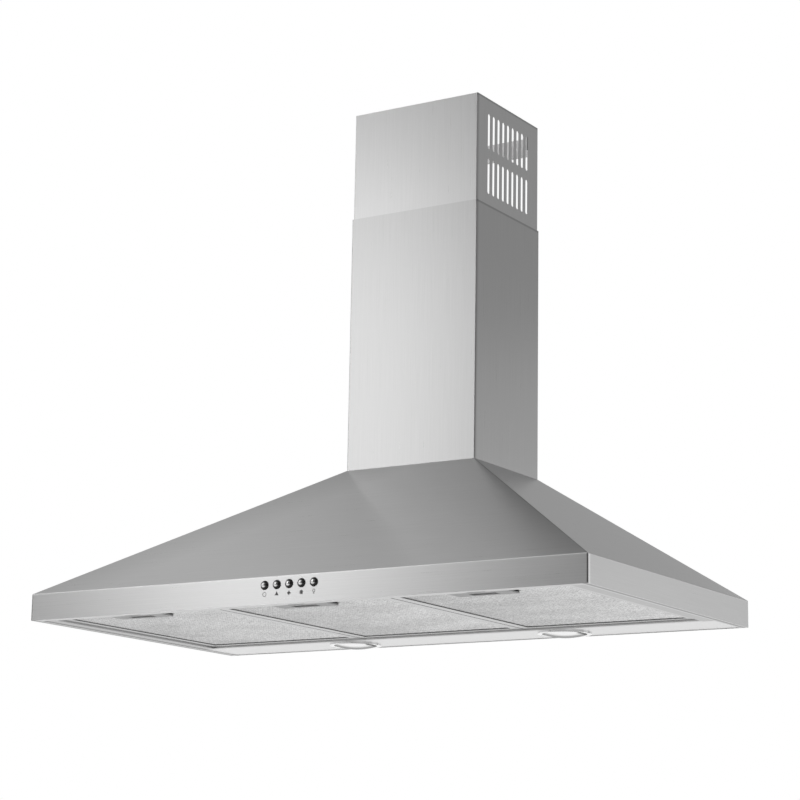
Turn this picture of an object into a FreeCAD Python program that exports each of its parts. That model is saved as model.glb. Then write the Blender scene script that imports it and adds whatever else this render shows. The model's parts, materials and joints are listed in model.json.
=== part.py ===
import FreeCAD, Part
import math
import os
import re
import Sketcher
from FreeCAD import Placement, Rotation, Vector

# Wall-mounted range hood. X runs to the right, Y towards the wall, Z up.
# The wall is the plane y = 0 and the canopy's lower edge is z = 0.

SIZES = {
    # canopy skin
    "hood_width": 898,
    "hood_depth": 490,
    "lip_height": 38,
    "pyramid_rise": 203,
    "sheet": 0.8,
    "fold_radius": 1.5,
    "lip_return": 12,
    "back_flange": 16,
    "deck_flange": 18,
    "rear_sheet": 0.8,
    # shared clearances, and how far a cut reaches past the face that it opens
    "fit_gap": 0.3,
    "hole_fit": 0.1,
    "overcut": 1,
    # wall fixings in the rear panel
    "wall_hole_radius": 4,
    "wall_hole_inset": 69,
    "wall_hole_rise": 52,
    "hook_spacing": 300,
    "hook_width": 44,
    "hook_height": 14,
    "hook_drop": 84,
    "rivet_radius": 2,
    "rivet_head": 3.6,
    "rivet_dome": 1.2,
    # chimney covers
    "chimney_width": 220,
    "chimney_depth": 189,
    "lower_length": 390,
    "upper_exposed": 167,
    "upper_short": 5,
    "slip_gap": 0.7,
    "chimney_flange": 16,
    "bend_radius": 1.6,
    "slot_width": 7,
    "slot_length": 55,
    "slot_pitch": 14.6,
    "slot_count": 9,
    "slot_rows": 2,
    "slot_row_pitch": 70,
    "slot_rise": 18,
    "bracket_sheet": 2,
    "bracket_height": 30,
    "bracket_drop": 15,
    "bracket_ear": 32,
    "bracket_hole_radius": 3,
    "bracket_hole_spacing": 140,
    # underside tray
    "side_rim": 32,
    "front_rim": 20,
    "lamp_strip": 92,
    "bay_wall": 14,
    "bay_ledge": 8,
    # grease filters
    "filter_gap": 1.5,
    "filter_split": 2,
    "filter_height": 9,
    "filter_border": 13,
    "filter_sheet": 0.8,
    "filter_hem": 1.6,
    "layer_count": 4,
    "layer_sheet": 0.4,
    "layer_pitch": 1.3,
    "pivot_rise": 1.4,
    "tab_gap": 0.3,
    "tab_spacing": 140,
    "tab_width": 20,
    "tab_reach": 6,
    "tab_sheet": 1,
    "tab_play": 1,
    "tab_window": 8.5,
    # filter latches and catches
    "latch_width": 88,
    "latch_depth": 32,
    "latch_drop": 2,
    "latch_wall": 1,
    "latch_play": 1,
    "finger_width": 40,
    "finger_depth": 13,
    "finger_lip": 2.5,
    "finger_play": 1,
    "slider_width": 60,
    "slider_height": 4,
    "slider_gap": 0.3,
    "tongue_width": 24,
    "tongue_height": 2,
    "tongue_reach": 3.2,
    "tongue_play": 1,
    "notch_room": 1.5,
    "catch_sheet": 0.6,
    "catch_width": 20,
    "catch_foot": 9,
    "catch_room": 2,
    "spring_radius": 1.7,
    "spring_wire": 0.3,
    "spring_turns": 6,
    # lamps
    "lamp_spacing": 362,
    "lamp_hole": 36,
    "bezel_radius": 39.5,
    "bezel_drop": 2,
    "bezel_wall": 2.6,
    "bezel_notch": 2.2,
    "lens_bulge": 5,
    "lens_glass": 2,
    "lamp_gap": 0.4,
    "lamp_height": 30,
    "lamp_can": 1,
    "lamp_flange": 4,
    "wire_hole": 3,
    "module_height": 4,
    # push buttons and their switch
    "button_count": 5,
    "button_radius": 6,
    "button_dome": 3,
    "button_gap": 0.4,
    "button_pitch": 20,
    "button_rise": 26.4,
    "button_proud": 4,
    "button_cap": 10,
    "button_travel": 3,
    "stem_radius": 3,
    "stem_length": 15,
    "switch_margin": 12,
    "switch_height": 20,
    "switch_depth": 24,
    "switch_set": 11,
    "switch_sheet": 1,
    # blower
    "blower_back": 95,
    "blower_drop": 116,
    "scroll_radius": 70,
    "scroll_step": 5,
    "housing_half": 62,
    "housing_wall": 2,
    "neck_front": 150,
    "inlet_radius": 50,
    "impeller_radius": 64,
    "impeller_half": 50,
    "impeller_disc": 3,
    "blade_count": 36,
    "blade_depth": 11,
    "blade_sheet": 0.8,
    "blade_lean": 7,
    "blade_inset": 0.5,
    "shroud_width": 4,
    "hub_radius": 10,
    "hub_length": 14,
    "shaft_radius": 4,
    "shaft_fit": 0.06,
    "motor_radius": 38,
    "motor_length": 48,
    "motor_round": 6,
    "motor_set": 8,
    "grille_sheet": 2,
    "grille_rim": 9,
    "grille_bar": 3,
    "grille_bars": 6,
    "ring_small": 17.5,
    "ring_large": 34,
    "spider_arms": 3,
    "spider_arm": 8,
    "spider_boss": 14,
    "plate_sheet": 2,
    "plate_margin": 6,
    "capacitor_radius": 15,
    "capacitor_length": 52,
    "capacitor_gap": 2,
    "capacitor_set": 45,
    # outlet collar and damper
    "duct_radius": 75,
    "collar_wall": 2,
    "collar_height": 52,
    "collar_base": 2,
    "collar_margin": 9,
    "damper_rise": 22,
    "damper_sheet": 1.2,
    "damper_gap": 1,
    "stop_width": 10,
    "stop_reach": 4,
    "stop_height": 2,
    "pin_radius": 2,
    "pin_fit": 0.08,
    "pin_cover": 0.5,
    "knuckle_radius": 3.6,
    "knuckle_gap": 0.5,
    "screw_radius": 2,
    "screw_hole": 2.2,
    "screw_head": 4,
    "screw_length": 12,
    "screw_seat": 0.5,
    # mains connection
    "terminal_side": 170,
    "terminal_rise": 112,
    "terminal_width": 84,
    "terminal_height": 52,
    "terminal_depth": 36,
    "terminal_wall": 2,
    "gland_radius": 8,
    "gland_flange": 12,
    "gland_collar": 3,
    "gland_bore": 4.5,
    "gland_set": 10,
}

doc = FreeCAD.newDocument("range_hood")
dims = doc.addObject("Spreadsheet::Sheet", "dims")
for row, (name, number) in enumerate(SIZES.items(), start=1):
    dims.set(f"A{row}", name)
    dims.set(f"B{row}", str(number))
    dims.setAlias(f"B{row}", name)
doc.recompute()

pieces = []


def ex(text):
    """An expression in which every size is read from the sheet."""
    return re.sub(r"[a-z][a-z_]*", lambda m: f"dims.{m[0]}" if m[0] in SIZES else m[0], text)


def size(name):
    return float(dims.get(name))


def readings(**texts):
    """The numbers that expressions give, for shapes made in code."""
    gauge = doc.addObject("App::FeaturePython", "gauge")
    for name, text in texts.items():
        gauge.addProperty("App::PropertyFloat", name)
        gauge.setExpression(name, ex(text))
    gauge.recompute()
    numbers = {name: getattr(gauge, name) for name in texts}
    doc.removeObject(gauge.Name)
    return numbers


def keep(label, piece):
    piece.Label = label
    pieces.append(piece)
    return piece


# Solids made of bodies with sketches.

def new_body(label):
    return keep(label, doc.addObject("PartDesign::Body", label))


def origin_part(body, role):
    return next(f for f in body.Origin.OriginFeatures if f.Role == role)


def sketch(body, role, offset="0"):
    flat = body.newObject("Sketcher::SketchObject", f"{body.Name}_sketch")
    flat.AttachmentSupport = (origin_part(body, role), [""])
    flat.MapMode = "FlatFace"
    flat.setExpression("AttachmentOffset.Base.z", ex(offset))
    return flat


def place_point(flat, line, point, x, y):
    """Tie a point of a sketch line to two expressions, measured from the sketch's origin."""
    start = readings(x=x, y=y)
    for kind, text in (("x", x), ("y", y)):
        measure = Sketcher.Constraint(f"Distance{kind.upper()}", -1, 1, line, point, start[kind])
        index = flat.addConstraint(measure)
        flat.setExpression(f"Constraints[{index}]", ex(text))


def polygon(flat, corners):
    count = len(corners)
    turn = 2 * math.pi / count
    spots = [Vector(math.cos(i * turn), math.sin(i * turn), 0) for i in range(count)]
    lines = [
        flat.addGeometry(Part.LineSegment(spots[i], spots[(i + 1) % count]), False)
        for i in range(count)
    ]
    for i, line in enumerate(lines):
        flat.addConstraint(Sketcher.Constraint("Coincident", line, 2, lines[(i + 1) % count], 1))
    for line, (x, y) in zip(lines, corners):
        place_point(flat, line, 1, x, y)


def rectangle(flat, x, y):
    polygon(flat, [(x[0], y[0]), (x[1], y[0]), (x[1], y[1]), (x[0], y[1])])


def circle(flat, x, y, radius):
    ring = flat.addGeometry(Part.Circle(Vector(0, 0, 0), Vector(0, 0, 1), 1), False)
    place_point(flat, ring, 3, x, y)
    index = flat.addConstraint(Sketcher.Constraint("Radius", ring, 1.0))
    flat.setExpression(f"Constraints[{index}]", ex(radius))


def upright_slot(flat, x, foot, radius, length):
    """A slot with round ends that stands on a foot level."""
    spot = readings(x=x, foot=foot, radius=radius, length=length)
    middle, wide = spot["x"], spot["radius"]
    low, high = spot["foot"] + wide, spot["foot"] + spot["length"] - wide

    def arc(level, start):
        ring = Part.Circle(Vector(middle, level, 0), Vector(0, 0, 1), wide)
        return flat.addGeometry(Part.ArcOfCircle(ring, start, start + math.pi), False)

    def side(across, start, end):
        line = Part.LineSegment(Vector(across, start, 0), Vector(across, end, 0))
        return flat.addGeometry(line, False)

    upper, left = arc(high, 0), side(middle - wide, high, low)
    lower, right = arc(low, math.pi), side(middle + wide, low, high)
    turns = [upper, left, lower, right]
    for piece, following in zip(turns, turns[1:] + turns[:1]):
        flat.addConstraint(Sketcher.Constraint("Coincident", piece, 2, following, 1))
    for end in (upper, lower):
        for tip in (1, 2):
            flat.addConstraint(Sketcher.Constraint("Horizontal", end, tip, end, 3))
        index = flat.addConstraint(Sketcher.Constraint("Radius", end, wide))
        flat.setExpression(f"Constraints[{index}]", ex(radius))
    place_point(flat, lower, 3, x, f"{foot} + {radius}")
    place_point(flat, upper, 3, x, f"{foot} + {length} - {radius}")


def pad(body, flat, length, symmetric=False, reverse=False):
    solid = body.newObject("PartDesign::Pad", f"{body.Name}_pad")
    solid.Profile = flat
    solid.setExpression("Length", ex(length))
    solid.SideType = "Symmetric" if symmetric else "One side"
    solid.Reversed = reverse
    return solid


def pocket(body, flat, length=None):
    """Cut a sketch through everything, or over a length that the sketch's plane halves."""
    hole = body.newObject("PartDesign::Pocket", f"{body.Name}_pocket")
    hole.Profile = flat
    hole.SideType = "Symmetric"
    if length is None:
        hole.Type = "ThroughAll"
    else:
        hole.setExpression("Length", ex(length))
    return hole


def upright_edges(shape, y):
    """Names of the vertical edges that lie in the plane of one y."""
    return [
        f"Edge{i}"
        for i, edge in enumerate(shape.Edges, start=1)
        if edge.BoundBox.ZLength > 1 and near(edge.BoundBox.YMin, y) and near(edge.BoundBox.YMax, y)
        and near(edge.BoundBox.XLength, 0)
    ]


def near(a, b):
    return abs(a - b) < 0.01


# Solids made of primitives and booleans.

AXIS_TURN = {
    "x": Rotation(Vector(0, 1, 0), 90),
    "y": Rotation(Vector(1, 0, 0), -90),
    "z": Rotation(),
}


def box(x, y, z):
    solid = doc.addObject("Part::Box", "block")
    for axis, side, (low, high) in (("x", "Length", x), ("y", "Width", y), ("z", "Height", z)):
        solid.setExpression(f"Placement.Base.{axis}", ex(low))
        solid.setExpression(side, ex(f"({high}) - ({low})"))
    return solid


def rod(axis, radius, ends, at):
    """A round bar along one axis between two ends; `at` holds its other two coordinates."""
    solid = doc.addObject("Part::Cylinder", "rod")
    solid.Placement = Placement(Vector(), AXIS_TURN[axis])
    solid.setExpression("Radius", ex(radius))
    solid.setExpression("Height", ex(f"({ends[1]}) - ({ends[0]})"))
    spots = dict(zip([a for a in "xyz" if a != axis], at))
    spots[axis] = ends[0]
    for letter, text in spots.items():
        solid.setExpression(f"Placement.Base.{letter}", ex(text))
    return solid


def ball(axis, radius, x, y, z):
    solid = doc.addObject("Part::Sphere", "ball")
    solid.Placement = Placement(Vector(), AXIS_TURN[axis])
    solid.setExpression("Radius", ex(radius))
    for letter, text in zip("xyz", (x, y, z)):
        solid.setExpression(f"Placement.Base.{letter}", ex(text))
    return solid


def fuse(*parts):
    solid = doc.addObject("Part::MultiFuse", "joined")
    solid.Shapes = list(parts)
    solid.Refine = True
    return solid


def cut(base, *tools):
    solid = doc.addObject("Part::Cut", "cut")
    solid.Base = base
    solid.Tool = tools[0] if len(tools) == 1 else fuse(*tools)
    solid.Refine = True
    return solid


def common(first, second):
    solid = doc.addObject("Part::Common", "shared")
    solid.Base = first
    solid.Tool = second
    return solid


def tube(axis, radii, ends, at):
    return cut(rod(axis, radii[0], ends, at), rod(axis, radii[1], ends, at))


def group(label, parts):
    several = doc.addObject("Part::Compound", label)
    several.Links = parts
    return keep(label, several)


def code_shape(label, shape, place=Placement()):
    solid = doc.addObject("Part::Feature", label)
    solid.Shape = shape
    solid.Placement = place
    return keep(label, solid)


# Places that several pieces share.

HALF = "(hood_width / 2)"
STACK = "(chimney_width / 2)"
TOP = "(lip_height + pyramid_rise)"
CHIMNEY_TOP = f"({TOP} + lower_length)"
UPPER_TOP = f"({CHIMNEY_TOP} + upper_exposed)"
UPPER_LENGTH = "(lower_length - upper_short)"
UPPER_FOOT = f"({UPPER_TOP} - {UPPER_LENGTH})"
UPPER_INSET = "(sheet + slip_gap)"
DECK = f"({TOP} - sheet)"
RUN_X = "(hood_width / 2 - chimney_width / 2)"
RUN_Y = "(hood_depth - chimney_depth)"
SKIN_X = f"(sheet * sqrt(pyramid_rise ^ 2 + {RUN_X} ^ 2) / pyramid_rise)"
SKIN_Y = f"(sheet * sqrt(pyramid_rise ^ 2 + {RUN_Y} ^ 2) / pyramid_rise)"
PLATE_TOP = "(2 * sheet)"
BAY_X = "(hood_width / 2 - side_rim)"
BAY_FRONT = "(hood_depth - front_rim)"
PITCH = "((hood_width - 2 * side_rim) / 3)"
PIVOT_Z = f"({PLATE_TOP} + pivot_rise)"
FILTER_Z = f"({PIVOT_Z} + tab_gap)"
FILTER_TOP = f"({FILTER_Z} + filter_height)"
FILTER_REAR = "(lamp_strip + filter_gap)"
FILTER_FRONT = f"({BAY_FRONT} - filter_gap)"
FILTER_HALF = f"(({PITCH} - filter_split) / 2)"
LAMP_Y = "(-lamp_strip / 2)"
DUCT_Y = "(-chimney_depth / 2)"
AXLE_Z = f"({TOP} - blower_drop)"
NECK_TOP = f"({DECK} - plate_sheet)"

# Shares of the length along which fasteners sit, and shares that shape blades and hinges.
RIVET_SHARES = ("0.2", "0.5", "0.8")
RIVET_INSET = "(back_flange * 0.7)"
SCREW_SHARES = ("0.25", "0.75")
SCREW_INSET = "(deck_flange * 0.6)"
BLADE_BELLY = 0.3
KNUCKLE_SHARE = "0.44"


def rivet_spots():
    """Rivets along the rear panel's slanted edges and its lower corners."""
    for side in ("-", ""):
        yield f"{side}({HALF} - back_flange / 2)", "lip_height / 2"
        for share in RIVET_SHARES:
            along = f"({HALF} - {RUN_X} * {share})"
            yield f"{side}({along} - {RIVET_INSET})", f"(lip_height + pyramid_rise * {share})"


def screw_spots():
    """The four screws that clamp collar, deck and blower plate."""
    for side in ("-", ""):
        for share in SCREW_SHARES:
            yield f"{side}({STACK} - {SCREW_INSET})", f"(-chimney_depth * {share})"


# Canopy: one folded skin with sloping sides, a deck on top and a turned-in lower edge.

def make_canopy():
    body = new_body("canopy")
    wide = (f"-{HALF}", HALF)
    deep = ("-hood_depth", "-rear_sheet")
    lip = sketch(body, "XY_Plane")
    rectangle(lip, wide, deep)
    pad(body, lip, "lip_height")
    foot = sketch(body, "XY_Plane", "lip_height")
    rectangle(foot, wide, deep)
    head = sketch(body, "XY_Plane", TOP)
    rectangle(head, (f"-{STACK}", STACK), ("-chimney_depth", "-rear_sheet"))
    slope = body.newObject("PartDesign::AdditiveLoft", "canopy_slope")
    slope.Profile = foot
    slope.Sections = [head]
    slope.Ruled = True
    doc.recompute()

    back, top = -size("rear_sheet"), size("lip_height") + size("pyramid_rise")

    def folded(edge):
        ends = [v.Point for v in edge.Vertexes]
        if all(near(p.y, back) for p in ends) or all(near(p.z, top) for p in ends):
            return False
        return not all(near(p.z, 0) for p in ends)

    folds = body.newObject("PartDesign::Fillet", "canopy_folds")
    names = [f"Edge{i}" for i, e in enumerate(slope.Shape.Edges, start=1) if folded(e)]
    folds.Base = (slope, names)
    folds.setExpression("Radius", ex("fold_radius"))
    doc.recompute()
    # hollow it out, parallel to the sloping sides
    inside = sketch(body, "XY_Plane")
    rectangle(
        inside,
        (f"-({HALF} - sheet)", f"{HALF} - sheet"),
        ("-hood_depth + sheet", "-rear_sheet - sheet"),
    )
    pocket(body, inside, "2 * lip_height")
    foot = sketch(body, "XY_Plane", "lip_height")
    rectangle(
        foot, (f"-({HALF} - {SKIN_X})", f"{HALF} - {SKIN_X}"),
        (f"-hood_depth + {SKIN_Y}", "-rear_sheet - sheet"),
    )
    head = sketch(body, "XY_Plane", DECK)
    wide = f"({STACK} - {SKIN_X} + sheet * {RUN_X} / pyramid_rise)"
    deep = f"(chimney_depth - {SKIN_Y} + sheet * {RUN_Y} / pyramid_rise)"
    rectangle(head, (f"-{wide}", wide), (f"-{deep}", "-rear_sheet - sheet"))
    hollow = body.newObject("PartDesign::SubtractiveLoft", "canopy_hollow")
    hollow.Profile = foot
    hollow.Sections = [head]
    hollow.Ruled = True

    hem = sketch(body, "XY_Plane")
    inner = f"({HALF} - lip_return)"
    rim = f"({HALF} - sheet / 2)"
    front = "(-hood_depth + sheet / 2)"
    polygon(hem, [
        (f"-{rim}", "-rear_sheet"), (f"-{rim}", front), (rim, front), (rim, "-rear_sheet"),
        (inner, "-rear_sheet"), (inner, "-hood_depth + lip_return"),
        (f"-{inner}", "-hood_depth + lip_return"), (f"-{inner}", "-rear_sheet"),
    ])
    pad(body, hem, "sheet")

    deck = sketch(body, "XY_Plane", TOP)
    rectangle(
        deck,
        (f"-({STACK} - deck_flange)", f"{STACK} - deck_flange"),
        ("-chimney_depth + deck_flange", "-rear_sheet - deck_flange"),
    )
    for x, y in screw_spots():
        circle(deck, x, y, "screw_hole")
    pocket(body, deck, "4 * sheet")

    back_window = sketch(body, "XZ_Plane", "rear_sheet")
    low, high = f"({HALF} - back_flange)", f"({STACK} - back_flange)"
    polygon(back_window, [
        (f"-{low}", "-sheet"), (low, "-sheet"), (low, "lip_height"),
        (high, f"{TOP} - back_flange"), (f"-{high}", f"{TOP} - back_flange"),
        (f"-{low}", "lip_height"),
    ])
    for x, z in rivet_spots():
        circle(back_window, x, z, "rivet_radius + hole_fit")
    pocket(body, back_window, "4 * sheet")

    holes = sketch(body, "XZ_Plane", "hood_depth")
    for x in button_places():
        circle(holes, x, "button_rise", "button_radius + button_gap")
    pocket(body, holes, "6 * sheet")


def button_places():
    middle = (int(size("button_count")) - 1) / 2
    return [f"({i - middle} * button_pitch)" for i in range(int(size("button_count")))]


def make_rear_panel():
    body = new_body("rear_panel")
    outline = sketch(body, "XZ_Plane")
    polygon(outline, [
        (f"-{HALF}", "0"), (HALF, "0"), (HALF, "lip_height"),
        (STACK, TOP), (f"-{STACK}", TOP), (f"-{HALF}", "lip_height"),
    ])
    pad(body, outline, "rear_sheet")
    holes = sketch(body, "XZ_Plane")
    for side in ("-", ""):
        circle(holes, f"{side}({HALF} - wall_hole_inset)", "wall_hole_rise", "wall_hole_radius")
        middle = f"{side}hook_spacing / 2"
        rectangle(
            holes,
            (f"{middle} - hook_width / 2", f"{middle} + hook_width / 2"),
            (f"{TOP} - hook_drop - hook_height", f"{TOP} - hook_drop"),
        )
    for x, z in rivet_spots():
        circle(holes, x, z, "rivet_radius + hole_fit")
    circle(holes, "-terminal_side", "terminal_rise", "gland_radius + hole_fit")
    pocket(body, holes, "4 * rear_sheet")
    group("rear_rivets", [make_rivet(x, z) for x, z in rivet_spots()])


def make_rivet(x, z):
    inside = "-rear_sheet - sheet"
    shank = rod("y", "rivet_radius", (f"{inside} - rivet_dome", "-rear_sheet / 4"), (x, z))
    head = rod("y", "rivet_head", (f"{inside} - rivet_dome", inside), (x, z))
    return fuse(shank, head)


# Chimney covers: U-shaped channels with flanges turned in along the wall.

def channel(label, inset, foot, length):
    body = new_body(label)
    flat = sketch(body, "XY_Plane", foot)
    side = f"({STACK} - {inset})"
    front = f"(-chimney_depth + {inset})"
    back = f"(-{inset})"
    corners = [
        (side, back), (side, front), (f"-{side}", front), (f"-{side}", back),
        (f"-{side} + chimney_flange", back), (f"-{side} + chimney_flange", f"{back} - sheet"),
        (f"-{side} + sheet", f"{back} - sheet"), (f"-{side} + sheet", f"{front} + sheet"),
        (f"{side} - sheet", f"{front} + sheet"), (f"{side} - sheet", f"{back} - sheet"),
        (f"{side} - chimney_flange", f"{back} - sheet"), (f"{side} - chimney_flange", back),
    ]
    polygon(flat, corners)
    blank = pad(body, flat, length)
    doc.recompute()
    front = blank.Shape.BoundBox.YMin
    bends = body.newObject("PartDesign::Fillet", f"{label}_bends")
    bends.Base = (blank, upright_edges(blank.Shape, front))
    bends.setExpression("Radius", ex("bend_radius"))
    doc.recompute()
    folds = body.newObject("PartDesign::Fillet", f"{label}_inner_bends")
    folds.Base = (bends, upright_edges(bends.Shape, front + size("sheet")))
    folds.setExpression("Radius", ex("bend_radius - sheet"))
    return body


def make_chimneys():
    channel("lower_chimney", "0", TOP, "lower_length")
    body = channel("upper_chimney", UPPER_INSET, UPPER_FOOT, UPPER_LENGTH)

    # the first vent slot of each row, cut through both sides, then repeated along the rows
    vents = sketch(body, "YZ_Plane")
    first = f"({DUCT_Y} - (slot_count - 1) / 2 * slot_pitch)"
    for row in range(int(size("slot_rows"))):
        foot = f"({CHIMNEY_TOP} + slot_rise + {row} * slot_row_pitch)"
        upright_slot(vents, first, foot, "slot_width / 2", "slot_length")
    opened = pocket(body, vents, "2 * chimney_width")
    rows = body.newObject("PartDesign::LinearPattern", "vent_rows")
    rows.Originals = [opened]
    rows.Direction = (origin_part(body, "Y_Axis"), [""])
    rows.Mode = "Spacing"
    rows.setExpression("Offset", ex("slot_pitch"))
    rows.setExpression("Occurrences", ex("slot_count"))
    body.Tip = rows

    # wall bracket that carries the upper cover
    inside = f"({STACK} - {UPPER_INSET} - sheet - slider_gap)"
    back = f"(-{UPPER_INSET} - sheet)"
    height = (f"{UPPER_TOP} - bracket_drop - bracket_height", f"{UPPER_TOP} - bracket_drop")
    strip = box((f"-{inside}", inside), (f"{back} - bracket_sheet", back), height)
    ears = [
        box((f"-{inside}", f"-{inside} + bracket_sheet"), (f"{back} - bracket_ear", back), height),
        box((f"{inside} - bracket_sheet", inside), (f"{back} - bracket_ear", back), height),
    ]
    level = f"({UPPER_TOP} - bracket_drop - bracket_height / 2)"
    holes = [
        rod("y", "bracket_hole_radius", (f"{back} - 2 * bracket_sheet", f"{back} + bracket_sheet"),
            (f"{side}bracket_hole_spacing / 2", level))
        for side in ("-", "")
    ]
    keep("chimney_bracket", cut(fuse(strip, *ears), *holes))


# Underside tray: plate with the filter bay, its upstand and ledge, and the lamp strip.

def filter_places():
    return [(number, f"({number - 2} * {PITCH})") for number in (1, 2, 3)]


def make_tray():
    body = new_body("underside_tray")
    plate = sketch(body, "XY_Plane", "sheet")
    side = f"({HALF} - sheet - fit_gap)"
    deep = ("-hood_depth + sheet + fit_gap", "-rear_sheet - sheet - fit_gap")
    rectangle(plate, (f"-{side}", side), deep)
    bay = ((f"-{BAY_X}", BAY_X), (f"-{BAY_FRONT}", "-lamp_strip"))
    rectangle(plate, *bay)
    for sign in ("-", ""):
        circle(plate, f"{sign}lamp_spacing / 2", LAMP_Y, "lamp_hole")
    pad(body, plate, "sheet")
    upstand = sketch(body, "XY_Plane", "sheet")
    rectangle(upstand, *bay)
    rectangle(
        upstand, (f"-{BAY_X} - sheet", f"{BAY_X} + sheet"),
        (f"-{BAY_FRONT} - sheet", "-lamp_strip + sheet"),
    )
    pad(body, upstand, "bay_wall")
    ledge = sketch(body, "XY_Plane", "bay_wall")
    rectangle(
        ledge, (f"-{BAY_X} - sheet / 2", f"{BAY_X} + sheet / 2"),
        (f"-{BAY_FRONT} - sheet / 2", "-lamp_strip + sheet / 2"),
    )
    rectangle(
        ledge, (f"-{BAY_X} + bay_ledge", f"{BAY_X} - bay_ledge"),
        (f"-{BAY_FRONT} + bay_ledge", "-lamp_strip - bay_ledge"),
    )
    pad(body, ledge, "sheet")

    # windows for the filters' rear tabs
    windows = sketch(body, "XZ_Plane", "lamp_strip")
    for _, middle in filter_places():
        for sign in ("-", "+"):
            spot = f"({middle} {sign} tab_spacing / 2)"
            reach = "tab_width / 2 + tab_play"
            rectangle(
                windows, (f"{spot} - ({reach})", f"{spot} + {reach}"),
                (PIVOT_Z, f"{PIVOT_Z} + tab_window"),
            )
    pocket(body, windows, "4 * sheet")

    # notches that let the latch tongues pass the front edge of the bay
    notches = sketch(body, "XY_Plane", "sheet")
    for _, middle in filter_places():
        reach = "tongue_width / 2 + 2 * tongue_play"
        rectangle(
            notches, (f"{middle} - ({reach})", f"{middle} + {reach}"),
            (f"-{BAY_FRONT} - sheet - tongue_reach - notch_room", f"-{BAY_FRONT} + sheet"),
        )
    pocket(body, notches, "2 * (bay_wall - 2 * sheet)")


# Grease filters with a sliding latch at the front edge and fixed tabs at the rear.

def make_filter(number, middle):
    name = f"filter_{number}"
    wide = (f"{middle} - {FILTER_HALF}", f"{middle} + {FILTER_HALF}")
    deep = (f"-{FILTER_FRONT}", f"-{FILTER_REAR}")
    window_x = (f"{wide[0]} + filter_border", f"{wide[1]} - filter_border")
    window_y = (f"{deep[0]} + filter_border", f"{deep[1]} - filter_border")
    inner_x = (f"{wide[0]} + filter_sheet", f"{wide[1]} - filter_sheet")
    inner_y = (f"{deep[0]} + filter_sheet", f"{deep[1]} - filter_sheet")
    inner_z = (f"{FILTER_Z} + filter_hem", f"{FILTER_TOP} - filter_sheet")
    tongue_z = f"({inner_z[0]} + slider_gap + slider_height / 2 - tongue_height / 2)"
    tongue_x = (f"{middle} - tongue_width / 2", f"{middle} + tongue_width / 2")
    mouth = box(
        (f"{tongue_x[0]} - tongue_play", f"{tongue_x[1]} + tongue_play"),
        (f"{deep[0]} - overcut", f"{deep[0]} + filter_sheet + overcut"),
        (f"{tongue_z} - slider_gap", f"{tongue_z} + tongue_height + slider_gap"),
    )
    rail = cut(
        box(wide, deep, (FILTER_Z, FILTER_TOP)),
        box(window_x, window_y, (f"{FILTER_Z} - overcut", f"{FILTER_TOP} + overcut")),
        box(inner_x, inner_y, inner_z),
        mouth,
    )
    tab_spots = [f"({middle} {sign} tab_spacing / 2)" for sign in ("-", "+")]
    tabs = [
        box(
            (f"{spot} - tab_width / 2", f"{spot} + tab_width / 2"),
            (f"{deep[1]} - filter_border / 2", "-lamp_strip + tab_reach"),
            (FILTER_Z, f"{FILTER_Z} + tab_sheet"),
        )
        for spot in tab_spots
    ]
    keep(f"{name}_frame", fuse(rail, *tabs))

    cover_x = (f"{middle} - latch_width / 2", f"{middle} + latch_width / 2")
    cover_y = (f"{deep[0]} + filter_sheet", f"{deep[0]} + filter_sheet + latch_depth")
    pad_x = (f"{inner_x[0]} + slider_gap", f"{inner_x[1]} - slider_gap")
    pad_y = (f"{inner_y[0]} + slider_gap", f"{inner_y[1]} - slider_gap")
    notch = (
        (f"{cover_x[0]} - latch_play", f"{cover_x[1]} + latch_play"),
        (deep[0], f"{cover_y[1]} + latch_play"),
        (FILTER_Z, FILTER_TOP),
    )
    layers = []
    for layer in range(int(size("layer_count"))):
        low = f"({inner_z[0]} + {layer} * layer_pitch)"
        sheet = box(pad_x, pad_y, (low, f"{low} + layer_sheet"))
        layers.append(cut(sheet, box(*notch)))
    group(f"{name}_mesh", layers)

    # cover plate with a finger slot and a rear wall that backs the spring
    finger_front = f"({deep[0]} + filter_border - slider_gap)"
    finger_y = (finger_front, f"{finger_front} + finger_depth")
    plate = box(cover_x, cover_y, (f"{FILTER_Z} - latch_drop", FILTER_Z))
    wall_y = (f"{cover_y[1]} - latch_wall", cover_y[1])
    wall = box(cover_x, wall_y, (FILTER_Z, f"{FILTER_TOP} - filter_sheet"))
    slot = box(
        (f"{middle} - finger_width / 2", f"{middle} + finger_width / 2"), finger_y,
        (f"{FILTER_Z} - latch_drop - overcut", f"{FILTER_Z} + overcut"),
    )
    keep(f"{name}_latch_cover", cut(fuse(plate, wall), slot))

    # sliding latch: block above the hem, finger lip in the slot, tongue through the frame
    slide_z = (f"{inner_z[0]} + slider_gap", f"{inner_z[0]} + slider_gap + slider_height")
    block_y = (f"{inner_y[0]} + slider_gap", f"{finger_front} + 2 * finger_lip + slider_gap")
    block = box((f"{middle} - slider_width / 2", f"{middle} + slider_width / 2"), block_y, slide_z)
    lip = box(
        (f"{middle} - finger_width / 2 + finger_play", f"{middle} + finger_width / 2 - finger_play"),
        (f"{finger_front} + 2 * slider_gap", f"{finger_front} + 2 * slider_gap + finger_lip"),
        (f"{FILTER_Z} - latch_drop / 2", slide_z[1]),
    )
    tongue = box(
        tongue_x, (f"-{BAY_FRONT} - sheet - tongue_reach", f"{inner_y[0]} + overcut"),
        (tongue_z, f"{tongue_z} + tongue_height"),
    )
    keep(f"{name}_latch", fuse(block, lip, tongue))
    make_spring(name, middle, block_y[1], f"{cover_y[1]} - latch_wall", slide_z)
    make_catch(name, middle, tongue_z)


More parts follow.
